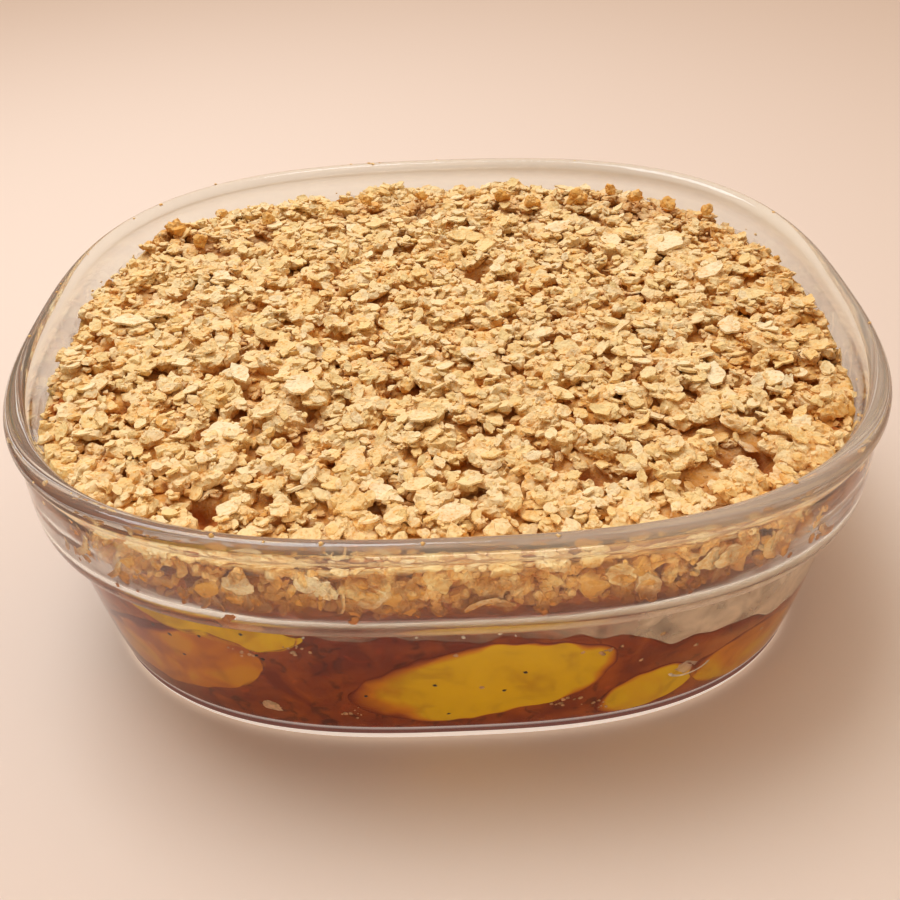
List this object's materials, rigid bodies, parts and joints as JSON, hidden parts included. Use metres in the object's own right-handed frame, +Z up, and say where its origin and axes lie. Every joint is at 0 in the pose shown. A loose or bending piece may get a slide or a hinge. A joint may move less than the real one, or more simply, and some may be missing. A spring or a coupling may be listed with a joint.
{
  "type": "mixed fruit crumble in a glass dish",
  "caption": "Baked fruit crumble with an uneven crumb and flake topping over soft fruit slices, in a rounded oblong clear glass dish with a beaded rim.",
  "frame": {"origin": "middle of the dish's flat base, on the surface that it stands on", "axes": "+Z up out of the dish, X along the longer side of the rim, -Y towards the side that the picture shows in front"},
  "size_m": [0.2368, 0.2118, 0.0779],
  "materials": {
    "clear_glass": "clear moulded glass, smooth",
    "fruit_compote": "wet, soft, dark red-brown",
    "fruit_slice": "wet, soft, golden yellow",
    "crumble": "dry, baked, rough"
  },
  "bodies": {
    "root": {"glass_dish": "clear_glass", "fruit_filling": "fruit_compote", "fruit_slice_front": "fruit_slice", "fruit_slice_left": "fruit_slice", "fruit_slice_upper_left": "fruit_slice", "fruit_slice_right": "fruit_slice", "fruit_slice_far_right": "fruit_slice", "fruit_slice_end_right": "fruit_slice", "fruit_slice_end_left": "fruit_slice", "fruit_slice_back_right": "fruit_slice", "fruit_slice_back_left": "fruit_slice", "crumble_topping": "crumble"}
  },
  "joints": []
}
